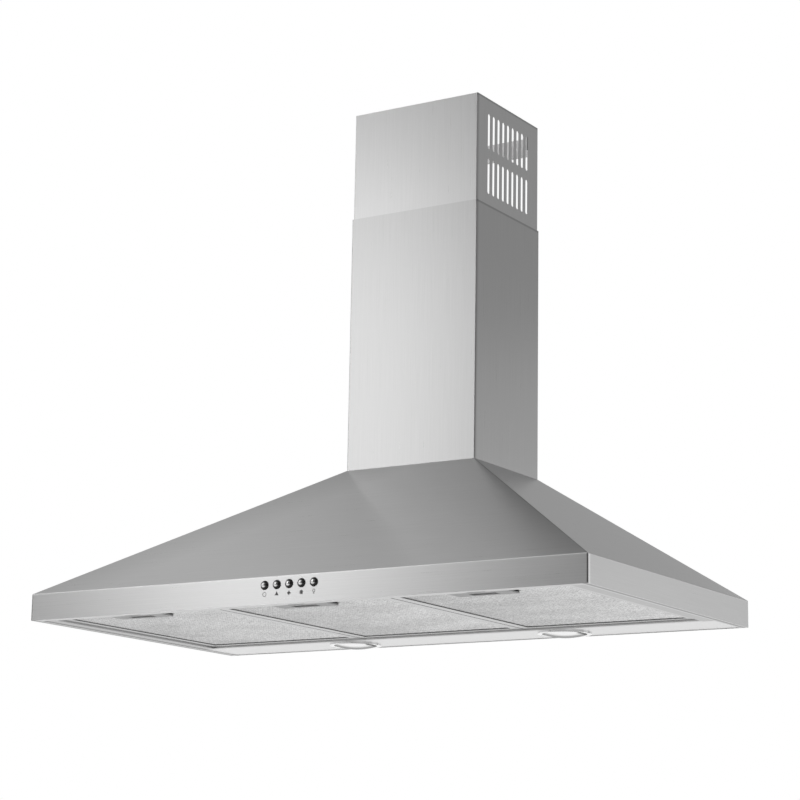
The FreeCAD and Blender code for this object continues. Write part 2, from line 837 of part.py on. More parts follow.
def make_spring(name, middle, front, back, height):
    """Coil between the slider's rear face and the cover's rear wall."""
    spot = readings(x=middle, front=front, back=back, z=f"({height[0]} + {height[1]}) / 2")
    wire = size("spring_wire")
    inset = wire + size("shaft_fit")
    free = spot["back"] - spot["front"] - 2 * inset
    coil = Part.makeHelix(free / size("spring_turns"), free, size("spring_radius"))
    start = Vector(size("spring_radius"), 0, 0)
    ring = Part.Wire(Part.Circle(start, Vector(0, 1, 0), wire).toShape())
    solid = Part.Wire(coil.Edges).makePipeShell([ring], True, True)
    place = Placement(Vector(spot["x"], spot["front"] + inset, spot["z"]), AXIS_TURN["y"])
    code_shape(f"{name}_latch_spring", solid, place)


def make_catch(name, middle, tongue_z):
    """Spring leaf on the tray: foot on the plate, riser, and a lip under the tongue."""
    leaf = new_body(f"{name}_catch")
    flat = sketch(leaf, "YZ_Plane", middle)
    wall = f"(-{BAY_FRONT} - sheet - tongue_reach - catch_room)"
    tip = f"(-{BAY_FRONT} - sheet - slider_gap)"
    under = f"({tongue_z} - slider_gap)"
    polygon(flat, [
        (f"{wall} - catch_foot", PLATE_TOP), (wall, PLATE_TOP),
        (wall, f"{under} - catch_sheet"), (tip, f"{under} - catch_sheet"),
        (tip, under), (f"{wall} - catch_sheet", under),
        (f"{wall} - catch_sheet", f"{PLATE_TOP} + catch_sheet"),
        (f"{wall} - catch_foot", f"{PLATE_TOP} + catch_sheet"),
    ])
    pad(leaf, flat, "catch_width", symmetric=True)


# Lamps in the rear strip.

def make_lamp(side, sign):
    at = (f"{sign}lamp_spacing / 2", LAMP_Y)
    barrel = "(lamp_hole - lamp_gap)"
    mouth = f"({barrel} - bezel_wall)"
    seat = "(sheet + lamp_height / 2)"
    ring = tube("z", ("bezel_radius", mouth), ("sheet - bezel_drop", "sheet"), at)
    sleeve = tube("z", (barrel, mouth), ("sheet - bezel_drop", seat), at)
    notch_ring = "(bezel_radius - bezel_notch / 3)"
    notch_z = ("sheet - 2 * bezel_drop", "sheet")
    notches = [
        rod("z", "bezel_notch", notch_z, (f"{at[0]} {way} {notch_ring}", at[1]))
        for way in ("-", "+")
    ]
    keep(f"lamp_{side}_bezel", cut(fuse(ring, sleeve), *notches))

    glass = f"({mouth} - lamp_gap / 2)"
    curve = f"(({glass} * {glass} + lens_bulge * lens_bulge) / (2 * lens_bulge))"
    rim = "(sheet - bezel_drop)"
    outer = common(
        rod("z", glass, (f"{rim} - lens_bulge", f"{rim} + lens_glass"), at),
        ball("z", curve, at[0], at[1], f"{rim} - lens_bulge + {curve}"),
    )
    hollow = ball("z", f"{curve} - lens_glass", at[0], at[1], f"{rim} - lens_bulge + {curve}")
    keep(f"lamp_{side}_lens", cut(outer, hollow))

    wall = "(lamp_hole + lamp_gap / 2)"
    can_top = f"({PLATE_TOP} + lamp_height)"
    foot = tube("z", (f"{wall} + lamp_flange", wall), (PLATE_TOP, f"{PLATE_TOP} + lamp_can"), at)
    can = tube("z", (f"{wall} + lamp_can", wall), (PLATE_TOP, can_top), at)
    lid = rod("z", f"{wall} + lamp_can", (can_top, f"{can_top} + lamp_can"), at)
    wire_hole = rod("z", "wire_hole", (f"{can_top} - overcut", f"{can_top} + 2 * lamp_can"), at)
    keep(f"lamp_{side}_housing", cut(fuse(foot, can, lid), wire_hole))

    base = rod("z", f"{barrel} - lamp_gap / 2", (seat, f"{seat} + module_height"), at)
    chip = rod("z", "lamp_hole / 2", (f"{seat} - module_height / 2", f"{seat}"), at)
    fins = rod("z", "lamp_hole / 2", (f"{seat} + module_height", f"{seat} + 2 * module_height"), at)
    keep(f"lamp_{side}_module", fuse(base, chip, fins))


# Push buttons and the switch behind them.

def make_controls():
    face = "-hood_depth"
    cap_back = f"({face} - button_proud + button_cap)"
    switch_front = f"({face} + switch_set)"
    span = "((button_count - 1) / 2 * button_pitch + button_radius + switch_margin)"
    level = ("button_rise - switch_height / 2", "button_rise + switch_height / 2")
    curve = "((button_radius * button_radius + button_dome * button_dome) / (2 * button_dome))"
    bores = []
    ports = []
    for number, x in enumerate(button_places(), start=1):
        at = (x, "button_rise")
        dome = common(
            rod("y", "button_radius", (f"{face} - button_proud", cap_back), at),
            ball("y", curve, x, f"{face} - button_proud + {curve}", "button_rise"),
        )
        stem_end = f"({cap_back} + stem_length)"
        stem = rod("y", "stem_radius", (f"{cap_back} - overcut", stem_end), at)
        keep(f"button_{number}", fuse(dome, stem))
        bore_ends = (f"{switch_front} - overcut", f"{stem_end} + button_travel + overcut")
        bores.append(rod("y", "stem_radius + fit_gap", bore_ends, at))
        ports.append(rod("y", "button_radius + button_gap", (face, f"{face} + 4 * sheet"), at))
    block = box((f"-{span}", span), (switch_front, f"{switch_front} + switch_depth"), level)
    keep("switch_housing", cut(block, *bores))

    inner = f"({face} + sheet)"
    wide = (f"-{span} - bracket_sheet", f"{span} + bracket_sheet")
    plate = box(wide, (inner, f"{inner} + switch_sheet"), level)
    arms = [
        box(ends, (inner, f"{switch_front} + switch_depth / 2"), level)
        for ends in ((wide[0], f"-{span}"), (span, wide[1]))
    ]
    keep("switch_bracket", cut(fuse(plate, *arms), *ports))


# Blower: scroll housing in two halves, double-inlet impeller, motor on a spider.

def scroll_wire(offset, rise):
    """Outline of the scroll: three growing quarter arcs, a straight neck wall and a cut-off."""
    y, z = -size("blower_back"), size("lip_height") + size("pyramid_rise") - size("blower_drop")
    step = size("scroll_step")
    r1 = size("scroll_radius") - offset
    r2 = r1 + step
    r3 = r2 + step
    top = size("lip_height") + size("pyramid_rise") - size("sheet") - size("plate_sheet") + rise

    def quarter(cy, cz, radius, start):
        points = [
            Vector(0, cy + radius * math.cos(start + t), cz + radius * math.sin(start + t))
            for t in (0, math.pi / 4, math.pi / 2)
        ]
        return Part.Arc(*points).toShape(), points

    first, a = quarter(y, z, r1, math.pi / 2)
    second, b = quarter(y + step, z, r2, math.pi)
    third, c = quarter(y + step, z + step, r3, 1.5 * math.pi)
    rear_top = Vector(0, c[2].y, top)
    lean = (size("neck_front") - size("blower_back")) / (top - a[0].z + offset)
    front_top = Vector(0, a[0].y - lean * (top - a[0].z), top)
    corners = [c[2], rear_top, front_top, a[0]]
    lines = [Part.makeLine(start, end) for start, end in zip(corners, corners[1:])]
    return Part.Wire([first, second, third] + lines)


def make_blower():
    half, wall = size("housing_half"), size("housing_wall")
    y, z = -size("blower_back"), size("lip_height") + size("pyramid_rise") - size("blower_drop")
    for side, sign in (("left", -1), ("right", 1)):
        shell = Part.Face(scroll_wire(0, 0)).extrude(Vector(sign * half, 0, 0))
        space = Part.Face(scroll_wire(wall, wall)).extrude(Vector(sign * (half - wall), 0, 0))
        inlet = Part.makeCylinder(size("inlet_radius"), 2 * half, Vector(0, y, z), Vector(sign, 0, 0))
        code_shape(f"blower_housing_{side}", shell.cut(space).cut(inlet))

    at = ("-blower_back", AXLE_Z)
    seat = "(housing_half + grille_sheet)"
    rim = ("inlet_radius + grille_rim", "inlet_radius")

    # left inlet: rim, two rings and six bars
    ends = ("-housing_half - grille_sheet", "-housing_half")
    rings = [
        tube("x", (f"{radius} + grille_bar / 2", f"{radius} - grille_bar / 2"), ends, at)
        for radius in ("ring_small", "ring_large")
    ]
    reach = ("ring_small", "inlet_radius + grille_bar")
    bars = [spoke(angle, reach, ends, "grille_bar") for angle in even_angles("grille_bars")]
    keep("inlet_grille", fuse(tube("x", rim, ends, at), *rings, *bars))

    # right inlet: spider that carries the motor
    ends = ("housing_half", seat)
    motor_end = "(motor_set + motor_length)"
    boss = rod("x", "spider_boss", (motor_end, seat), at)
    reach = ("hub_radius", "inlet_radius + grille_bar")
    arms = [spoke(90 + angle, reach, ends, "spider_arm") for angle in even_angles("spider_arms")]
    keep("motor_bracket", fuse(tube("x", rim, ends, at), boss, *arms))

    can = rod("x", "motor_radius", ("motor_set", motor_end), at)
    rounded = doc.addObject("Part::Fillet", "motor_edges")
    rounded.Base = can
    doc.recompute()
    girth = 2 * math.pi * size("motor_radius")
    rims = [i for i, edge in enumerate(can.Shape.Edges, start=1) if near(edge.Length, girth)]
    rounded.Edges = [(i, size("motor_round"), size("motor_round")) for i in rims]
    shaft_end = "(motor_set + motor_length / 2)"
    bore = rod("x", "shaft_radius + shaft_fit", ("0", f"{shaft_end} + overcut"), at)
    keep("motor", cut(rounded, bore))
    keep("motor_shaft", rod("x", "shaft_radius", ("-hub_length", shaft_end), at))
    make_impeller()

    # plate between scroll and deck
    side = f"({STACK} - plate_margin)"
    deep = ("-chimney_depth + plate_margin", "-rear_sheet - sheet - plate_margin")
    plate = box((f"-{side}", side), deep, (NECK_TOP, DECK))
    mouth = box(
        ("-housing_half + housing_wall", "housing_half - housing_wall"),
        ("-neck_front + 2 * housing_wall", "-blower_back + scroll_radius + 2 * scroll_step"),
        (f"{NECK_TOP} - overcut", f"{DECK} + overcut"),
    )
    through = (f"{NECK_TOP} - overcut", f"{DECK} + overcut")
    holes = [rod("z", "screw_hole", through, spot) for spot in screw_spots()]
    keep("blower_plate", cut(plate, mouth, *holes))
    spot = (f"{seat} + capacitor_radius + capacitor_gap", "-blower_back + capacitor_set")
    keep("capacitor", rod("z", "capacitor_radius", (f"{NECK_TOP} - capacitor_length", NECK_TOP), spot))
    head = f"({TOP} + collar_base)"
    group("blower_screws", [
        fuse(
            rod("z", "screw_radius", (f"{head} - screw_length", f"{head} + screw_seat"), spot),
            rod("z", "screw_head", (head, f"{head} + screw_head / 2"), spot),
        )
        for spot in screw_spots()
    ])


def even_angles(count_name):
    count = int(size(count_name))
    return [360 * number / count for number in range(count)]


def spoke(angle, reach, ends, width):
    """A radial bar of an inlet grille, turned about the blower's axis."""
    inner, outer = reach
    bar = doc.addObject("Part::Box", "bar")
    bar.setExpression("Length", ex(f"({ends[1]}) - ({ends[0]})"))
    bar.setExpression("Width", ex(width))
    bar.setExpression("Height", ex(f"{outer} - {inner}"))
    bar.Placement = Placement(Vector(), Rotation(Vector(1, 0, 0), angle))
    up, out = math.cos(math.radians(angle)), math.sin(math.radians(angle))
    corner = {
        "x": ends[0],
        "y": f"-blower_back - {out} * ({inner}) - {up} * ({width}) / 2",
        "z": f"{AXLE_Z} + {up} * ({inner}) - {out} * ({width}) / 2",
    }
    for letter, place in corner.items():
        bar.setExpression(f"Placement.Base.{letter}", ex(place))
    return bar


def make_impeller():
    """Forward-curved blades on both faces of a disc, tied by a shroud ring at each end."""
    body = new_body("impeller")
    body.setExpression("Placement.Base.y", ex("-blower_back"))
    body.setExpression("Placement.Base.z", ex(AXLE_Z))
    disc = sketch(body, "YZ_Plane")
    circle(disc, "0", "0", "impeller_radius")
    circle(disc, "0", "0", "shaft_radius + shaft_fit")
    pad(body, disc, "impeller_disc", symmetric=True)
    hub = sketch(body, "YZ_Plane")
    circle(hub, "0", "0", "hub_radius")
    circle(hub, "0", "0", "shaft_radius + shaft_fit")
    pad(body, hub, "hub_length", reverse=True)

    outer = size("impeller_radius") - size("blade_inset")
    inner = size("impeller_radius") - size("blade_depth")
    lean, thick = size("blade_lean"), size("blade_sheet")
    blade = sketch(body, "YZ_Plane")
    belly = Vector((inner + outer) / 2, lean * BLADE_BELLY, 0)
    low = [Vector(inner, 0, 0), belly, Vector(outer, lean, 0)]
    high = [p + Vector(-thick / 4, thick, 0) for p in low]
    outline = [
        Part.Arc(*low), Part.LineSegment(low[2], high[2]),
        Part.Arc(*high), Part.LineSegment(high[0], low[0]),
    ]
    for edge in outline:
        blade.addGeometry(edge, False)
    first = pad(body, blade, "2 * impeller_half", symmetric=True)
    ring = body.newObject("PartDesign::PolarPattern", "blades")
    ring.Originals = [first]
    ring.Axis = (origin_part(body, "X_Axis"), [""])
    ring.Angle = 360
    ring.setExpression("Occurrences", ex("blade_count"))
    body.Tip = ring
    for reverse in (False, True):
        shroud = sketch(body, "YZ_Plane", "-impeller_half" if reverse else "impeller_half - shroud_width")
        circle(shroud, "0", "0", "impeller_radius")
        circle(shroud, "0", "0", "impeller_radius - blade_depth / 4")
        pad(body, shroud, "shroud_width")


# Outlet collar with two damper flaps on one pin.

def make_outlet():
    at = ("0", DUCT_Y)
    side = f"({STACK} - collar_margin)"
    base = box(
        (f"-{side}", side), ("-chimney_depth + collar_margin", "-collar_margin"),
        (TOP, f"{TOP} + collar_base"),
    )
    top = f"({TOP} + collar_height)"
    pin_z = f"({TOP} + damper_rise)"
    inner = "(duct_radius - collar_wall)"
    pin_at = (DUCT_Y, pin_z)
    bore_half = "(duct_radius - pin_cover)"
    through = (f"{TOP} - overcut", f"{TOP} + collar_base + overcut")
    body = cut(
        fuse(base, rod("z", "duct_radius", (TOP, top), at)),
        rod("z", inner, (f"{TOP} - overcut", f"{top} + overcut"), at),
        *[rod("z", "screw_hole", through, spot) for spot in screw_spots()],
        rod("x", "pin_radius + pin_fit", (f"-{bore_half}", bore_half), pin_at),
    )
    # stops on which the closed flaps rest
    stop_top = f"({pin_z} - damper_sheet / 2 - fit_gap)"
    stops = [
        box(("-stop_width / 2", "stop_width / 2"), ends, (f"{stop_top} - stop_height", stop_top))
        for ends in (
            (f"{DUCT_Y} - duct_radius + collar_wall / 2", f"{DUCT_Y} - {inner} + stop_reach"),
            (f"{DUCT_Y} + {inner} - stop_reach", f"{DUCT_Y} + duct_radius - collar_wall / 2"),
        )
    ]
    keep("outlet_collar", fuse(body, *stops))
    pin_ends = (f"-{bore_half} + hole_fit", f"{bore_half} - hole_fit")
    keep("damper_pin", rod("x", "pin_radius", pin_ends, pin_at))

    flap_radius = f"({inner} - damper_gap)"
    knuckle = f"({flap_radius} * {KNUCKLE_SHARE})"
    clear = "(knuckle_radius + knuckle_gap)"
    across = ("-duct_radius", "duct_radius")
    hinge_z = (f"{pin_z} - knuckle_radius", f"{pin_z} + knuckle_radius")
    halves = {
        "front": (f"{DUCT_Y} - duct_radius", f"{DUCT_Y} - knuckle_gap"),
        "rear": (f"{DUCT_Y} + knuckle_gap", f"{DUCT_Y} + duct_radius"),
    }
    free_ends = (
        ("-duct_radius", f"-2 * {knuckle} + knuckle_gap"),
        (f"2 * {knuckle} - knuckle_gap", "duct_radius"),
    )
    for name, reach in halves.items():
        disc = rod("z", flap_radius, (f"{pin_z} - damper_sheet / 2", f"{pin_z} + damper_sheet / 2"), at)
        half = common(disc, box(across, reach, hinge_z))
        spans = knuckle_spans(knuckle, name == "front")
        gaps = knuckle_spans(knuckle, name != "front")
        barrels = [rod("x", "knuckle_radius", span, pin_at) for span in spans]
        relief = [
            rod("x", clear, (f"{low} - knuckle_gap", f"{high} + knuckle_gap"), pin_at)
            for low, high in gaps
        ]
        ends = [
            box(span, (f"{DUCT_Y} - {clear}", f"{DUCT_Y} + {clear}"), hinge_z)
            for span in free_ends
        ]
        bore = rod("x", "pin_radius + pin_fit", across, pin_at)
        keep(f"damper_flap_{name}", cut(fuse(cut(half, *relief, *ends), *barrels), bore))


def knuckle_spans(step, first):
    starts = ("-2", "0") if first else ("-1", "1")
    return [(f"{s} * {step} + knuckle_gap", f"({s} + 1) * {step} - knuckle_gap") for s in starts]


# Mains connection on the rear panel.

def make_terminal():
    x, z = "(-terminal_side)", "terminal_rise"
    wide = (f"{x} - terminal_width / 2", f"{x} + terminal_width / 2")
    tall = (f"{z} - terminal_height / 2", f"{z} + terminal_height / 2")
    back = "(-rear_sheet)"
    front = f"({back} - terminal_depth)"
    gland_hole = (f"{back} - terminal_wall - overcut", f"{back} + overcut")
    case = cut(
        box(wide, (front, back), tall),
        box(
            (f"{wide[0]} + terminal_wall", f"{wide[1]} - terminal_wall"),
            (f"{front} - overcut", f"{back} - terminal_wall"),
            (f"{tall[0]} + terminal_wall", f"{tall[1]} - terminal_wall"),
        ),
        rod("y", "gland_radius + hole_fit", gland_hole, (x, z)),
    )
    keep("terminal_box", case)
    keep("terminal_box_lid", box(wide, (f"{front} - terminal_wall", front), tall))
    flange = (f"{back} - terminal_wall - gland_collar", f"{back} - terminal_wall")
    neck = rod("y", "gland_radius", ("-gland_set", "0"), (x, z))
    bore = rod("y", "gland_bore", ("-gland_set - overcut", "overcut"), (x, z))
    keep("cable_gland", cut(fuse(neck, rod("y", "gland_flange", flange, (x, z))), bore))


make_canopy()
make_rear_panel()
make_chimneys()
make_tray()
for number, middle in filter_places():
    make_filter(number, middle)
make_lamp("left", "-")
make_lamp("right", "")
make_controls()
make_blower()
make_outlet()
make_terminal()

doc.recompute()
faults = [o.Name for o in doc.Objects if "Invalid" in o.State or "Error" in o.State]
if faults:
    raise RuntimeError(f"objects with errors: {faults}")
for piece in pieces:
    if piece.Shape.isNull() or not piece.Shape.isValid():
        raise RuntimeError(f"bad shape: {piece.Label}")

os.makedirs("parts", exist_ok=True)
for piece in pieces:
    piece.Shape.exportStep(f"parts/{piece.Label}.step")
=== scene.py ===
import json
import math

import bpy
from mathutils import Matrix, Vector


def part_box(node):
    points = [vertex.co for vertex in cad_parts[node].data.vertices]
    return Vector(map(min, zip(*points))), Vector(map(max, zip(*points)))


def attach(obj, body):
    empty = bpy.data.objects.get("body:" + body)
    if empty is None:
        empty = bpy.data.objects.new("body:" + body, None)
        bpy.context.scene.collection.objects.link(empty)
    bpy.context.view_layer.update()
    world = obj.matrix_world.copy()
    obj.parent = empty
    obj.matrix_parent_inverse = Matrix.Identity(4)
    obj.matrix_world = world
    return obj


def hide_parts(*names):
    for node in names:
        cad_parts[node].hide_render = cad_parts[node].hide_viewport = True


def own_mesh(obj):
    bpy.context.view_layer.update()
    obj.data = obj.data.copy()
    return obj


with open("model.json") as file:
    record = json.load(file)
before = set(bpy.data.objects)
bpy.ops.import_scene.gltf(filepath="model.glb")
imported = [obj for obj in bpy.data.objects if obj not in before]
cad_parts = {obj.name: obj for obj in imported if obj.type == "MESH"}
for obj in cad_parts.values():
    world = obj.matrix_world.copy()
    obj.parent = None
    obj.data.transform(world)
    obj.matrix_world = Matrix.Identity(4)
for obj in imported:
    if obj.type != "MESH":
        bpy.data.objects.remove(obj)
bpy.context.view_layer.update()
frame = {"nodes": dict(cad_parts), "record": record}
nodes = frame["nodes"]
scene = bpy.context.scene
scene.view_settings.view_transform = "Standard"

MM = 0.001
FILTERS = range(1, 4)
BUTTONS = range(1, 6)

# Camera of the photograph: angles in degrees, place in metres, lens and sensor in millimetres
CAMERA_AZIMUTH = 32.069
CAMERA_ELEVATION = -12.593
CAMERA_ROLL = 0.986
CAMERA_PLACE = Vector((1.7681, -3.0406, -0.4119))
CAMERA_LENS = 104.97
CAMERA_SENSOR = 36.0
CAMERA_REACH = 100

# Floor and lights of the studio, in metres and watts
FLOOR_LEVEL = -0.75
FLOOR_SIZE = 60.0
FLOOR_GLOW = (0.45, 0.6)
FLOOR_FADE = (1.5, 5.0)
FLOOR_TONE = 0.86
AMBIENT = 0.45
KEY_PLACE = (-3.02, -4.644, 1.38)
KEY_TARGET = (0.06, -0.344, 0.3)
KEY_SIZE = (0.7, 2.2)
KEY_POWER = 17.0
WHITE = (1, 1, 1, 1)
BLACK = (0, 0, 0, 1)

# Directions that the floor and the cards face
UPWARD = (0, 0, 1)
DOWNWARD = (0, 0, -1)
FORWARD = (0, -1, 0)
BACKWARD = (0, 1, 0)
LEFTWARD = (-1, 0, 0)

# Cards of the studio: name, centre, width, height, direction and brightness
CARDS = (
    ("card_back_left", (-3.25, 1.6, 3.6), 2.5, 3.4, FORWARD, 0.56),
    ("card_back_glow", (-2.95, 1.58, 3.4), 0.6, 3.0, FORWARD, 0.78),
    ("card_back_right", (1.25, 1.6, 3.6), 6.5, 3.4, FORWARD, 0.3),
    ("card_back_low", (0, 1.6, 1.4), 9.0, 1.0, FORWARD, 0.42),
    ("card_back_foot_left", (-2.0, 1.6, 0.71), 5.0, 0.38, FORWARD, 0.48),
    ("card_back_foot_right", (2.5, 1.6, 0.71), 4.0, 0.38, FORWARD, 0.6),
    ("card_back_corner", (0.85, 1.6, 0.25), 0.8, 0.5, FORWARD, 0.8),
    ("card_top", (0, -1.0, 4.6), 9.0, 8.0, DOWNWARD, 0.72),
    ("card_top_left", (-4.5, -3.2, 4.55), 2.5, 3.4, DOWNWARD, 1.9),
    ("card_front_left", (-4.9, -5.2, 1.4), 2.0, 4.4, BACKWARD, 0.1),
    ("card_front", (-3.05, -5.2, 1.4), 1.7, 4.4, BACKWARD, 0.3),
    ("card_front_right", (0.95, -5.2, 1.4), 6.3, 4.4, BACKWARD, 0.16),
    ("card_right", (4.2, -1.5, 1.4), 7.0, 4.4, LEFTWARD, 0.36),
)

# Expanded metal and latches of the filters
DIAMOND_LENGTH = 12 * MM
DIAMOND_WIDTH = 6 * MM
STRAND_WIDTH = 1.5 * MM
STRAND_DEPTH = 0.4 * MM
HEM_COVER = 12 * MM
LATCH_CLEARANCE = 0.6 * MM

# Grain of the finishes: noise lies mostly in the middle of its range
NOISE_SPAN = (0.3, 0.7)
NOISE_DETAIL = 3.0
NOISE_ROUGHNESS = 0.6
FULL_SPAN = (0.0, 1.0)
GRAIN_DEPTH = 0.1 * MM
MOULDED_RELIEF = 0.15
BRUSHED = (0.26, 0.31)

# Painted shade along the folds of the chimney covers, wide on the sides and narrower on the front, and
# along the upper edges of their sides
FOLD_WIDTH = 7 * MM
FOLD_SHADE = 0.7
FOLD_NARROWING = 6.0
EDGE_WIDTH = 4 * MM
EDGE_SHADE = 0.3
SIDE_SHEET = (1 * MM, 2 * MM)

# Painted shade and painted highlights along the folds of the canopy, where a point within SKIN of a face
# counts as on it
LIP_HEIGHT = 38 * MM
LIP_FOLD = (LIP_HEIGHT - MM, LIP_HEIGHT + MM)
SKIN = 0.2 * MM
CORNER_PEAK = 0.7 * MM
CORNER_END = 3.2 * MM
CORNER_SHADE = 0.7
RIDGE_SHADE = 0.22
SHADE_END = 130 * MM
SHADE_DARK = 0.16
# Painted shadow along the hem
HEM_TOP = 2 * MM
HEM_LINE = (1.5 * MM, 9 * MM)
HEM_BLEND = 2 * MM
HEM_SHADOW = 0.75
# Painted highlights on the sides' seams and the rim
SEAM_LINE = (1 * MM, 8 * MM)
SEAM_HIGHLIGHT = 0.5
RIM_WIDTH = 2.5 * MM
RIM_HIGHLIGHT = 0.16

# Galvanised sheet
CRYSTAL_SCALE = 90.0
ZINC_TONES = (0.68, 0.78)
ZINC_ROUGHNESS = (0.36, 0.52)

# Lenses: painted shade on the edges by the angle of view, and painted shadows at the two ends by shares of
# the radius and of the sideways turn
RING_RATE = 2600.0
LENS_TONES = (0.82, 0.9)
LENS_GLOW = 0.55
LENS_GLOSS = 0.5
LENS_ROUGHNESS = 0.35
LENS_RELIEF = 0.1
LENS_EDGE = (0.68, 0.82)
LENS_EDGE_SHADE = 0.25
END_SHADOW_REACH = (0.84, 0.92)
END_SHADOW_TURN = (0.86, 0.94)
END_SHADOW_DARK = 0.8

# Buttons: a painted reflection, as tones of the face and the rim, and where one turns into the other
BUTTON_REFLECTION_TONES = (0.78, 0.03)
BUTTON_RIM = (0.36, 0.64)
BUTTON_GRAIN = (60, 60, 60)
BUTTON_ROUGHNESS = (0.05, 0.09)

# Filters and tray
# Painted shade on the frames' sides
FRAME_SIDE_TILT = (0.2, 0.8)
FRAME_SIDE_SHADE = 0.3
# Painted reflection as a slant across each filter's mesh, and broad patches of tone
MESH_PAINTED_SLANT = (0.87, 1.12)
MESH_PATCHES = (0.93, 1.07)
PATCH_SCALE = (9, 14, 1)
PATCH_DETAIL = 1.0
# Painted shade on the tray's borders beside the filters, painted light on its strip behind them
TRAY_BORDER_SHADE = 0.66
TRAY_BORDER_BLEND = 2 * MM
TRAY_STRIP_LIGHT = 1.3
TRAY_STRIP_BLEND = 6 * MM

# Symbols under the buttons: sizes, then shares of half a symbol and numbers of points
SYMBOL_SIZE = 6.4 * MM
SYMBOL_DROP = 12.4 * MM
SYMBOL_LINE = 0.7 * MM
SYMBOL_RISE = 0.06 * MM
CIRCLE_STEPS = 40
TRIANGLE_FOOT = 0.7
STAR_REACH = 1.1
MIDDLE_POINTS = 4
MIDDLE_WAIST = 0.6
HIGH_POINTS = 8
HIGH_WAIST = 0.7
BULB_RISE = 0.3
BULB_RADIUS = 0.7
BULB_BASE_HALF = 0.34
BULB_BASE_HEIGHT = 0.42


def link(tree, source, target):
    tree.links.new(source, target)


def add(tree, kind, **settings):
    """A node of this kind, with its settings."""
    node = tree.nodes.new(kind)
    for name, value in settings.items():
        setattr(node, name, value)
    return node


def new_material(name):
    """A node material, with its tree and its shader."""
    material = bpy.data.materials.new(name)
    material.use_nodes = True
    tree = material.node_tree
    return material, tree, tree.nodes["Principled BSDF"]


def object_noise(tree, scale, detail=NOISE_DETAIL):
    """Noise in the object's own coordinates, with its own scale along each axis."""
    place = add(tree, "ShaderNodeTexCoord")
    mapping = add(tree, "ShaderNodeMapping")
    mapping.inputs["Scale"].default_value = scale
    noise = add(tree, "ShaderNodeTexNoise")
    noise.inputs["Scale"].default_value = 1.0
    noise.inputs["Detail"].default_value = detail
    noise.inputs["Roughness"].default_value = NOISE_ROUGHNESS
    link(tree, place.outputs["Object"], mapping.inputs["Vector"])
    link(tree, mapping.outputs["Vector"], noise.inputs["Vector"])
    return noise.outputs["Fac"]


def ramp(tree, factor, low, high, span=NOISE_SPAN):
    """From one colour to another across a span of the factor."""
    node = add(tree, "ShaderNodeValToRGB")
    for element, place, colour in zip(node.color_ramp.elements, span, (low, high)):
        element.position = place
        element.color = (*colour, 1.0)
    link(tree, factor, node.inputs["Fac"])
    return node.outputs["Color"]


def spread(tree, factor, low, high):
    """The factor, from 0 to 1, as a number from low to high."""
    node = add(tree, "ShaderNodeMapRange")
    node.inputs["To Min"].default_value = low
    node.inputs["To Max"].default_value = high
    link(tree, factor, node.inputs["Value"])
    return node.outputs["Result"]


def bump(tree, shader, height, strength):
    """Fine relief from the height, as deep as a grain."""
    node = add(tree, "ShaderNodeBump")
    node.inputs["Strength"].default_value = strength
    node.inputs["Distance"].default_value = GRAIN_DEPTH
    link(tree, height, node.inputs["Height"])
    link(tree, node.outputs["Normal"], shader.inputs["Normal"])


def calc(tree, operation, first, second=0.0):
    """One step of arithmetic with sockets or plain numbers."""
    node = add(tree, "ShaderNodeMath", operation=operation)
    for socket, value in zip(node.inputs, (first, second)):
        if isinstance(value, (int, float)):
            socket.default_value = value
        else:
            link(tree, value, socket)
    return node.outputs["Value"]


def own_axes(tree, kind="Object"):
    """The object's own x, y and z, or those of its normals."""
    place = add(tree, "ShaderNodeTexCoord")
    parts = add(tree, "ShaderNodeSeparateXYZ")
    link(tree, place.outputs[kind], parts.inputs["Vector"])
    return [parts.outputs[axis] for axis in "XYZ"]


def fade(tree, value, start, end, low, high, shape="SMOOTHSTEP"):
    """From low to high as the value goes from start to end."""
    node = add(tree, "ShaderNodeMapRange", interpolation_type=shape)
    for name, number in zip(("From Min", "From Max", "To Min", "To Max"), (start, end, low, high)):
        node.inputs[name].default_value = number
    link(tree, value, node.inputs["Value"])
    return node.outputs["Result"]


def band(tree, value, rise, fall, level, fall_shape="SMOOTHSTEP"):
    """From 0 up to the level over one stretch of the value, and down to 0 over another."""
    up = fade(tree, value, *rise, 0.0, level)
    down = fade(tree, value, *fall, 1.0, 0.0, fall_shape)
    return calc(tree, "MULTIPLY", up, down)


def reach_of(tree, first, second):
    """The distance that two offsets at right angles make."""
    squares = [calc(tree, "MULTIPLY", side, side) for side in (first, second)]
    return calc(tree, "SQRT", calc(tree, "ADD", *squares))


def shade(material, factor):
    """Darken or lighten a material's colour by the factor."""
    tree = material.node_tree
    base = tree.nodes["Principled BSDF"].inputs["Base Color"]
    node = add(tree, "ShaderNodeVectorMath", operation="SCALE")
    link(tree, base.links[0].from_socket, node.inputs[0])
    link(tree, factor, node.inputs["Scale"])
    link(tree, node.outputs["Vector"], base)


def grey(value):
    return (value, value, value)


def grained(tree, shader, grain, low, high, roughness, relief):
    """Let the grain vary a surface's colour and roughness, and raise it where there is relief."""
    link(tree, ramp(tree, grain, low, high), shader.inputs["Base Color"])
    link(tree, spread(tree, grain, *roughness), shader.inputs["Roughness"])
    if relief:
        bump(tree, shader, grain, relief)


def metal(name, scale, level, contrast, roughness, relief=0.0):
    """Bare metal whose grain is noise, drawn out along the axes with a small scale."""
    material, tree, shader = new_material(name)
    shader.inputs["Metallic"].default_value = 1.0
    grain = object_noise(tree, scale)
    grained(tree, shader, grain, grey(level - contrast), grey(level + contrast), roughness, relief)
    return material


def moulded(name, colour, scale, contrast, roughness, relief=MOULDED_RELIEF):
    """Moulded, printed or painted surface with an even grain."""
    material, tree, shader = new_material(name)
    grain = object_noise(tree, (scale,) * 3)
    low = tuple(c * (1 - contrast) for c in colour)
    high = tuple(min(1.0, c * (1 + contrast)) for c in colour)
    grained(tree, shader, grain, low, high, roughness, relief)
    return material


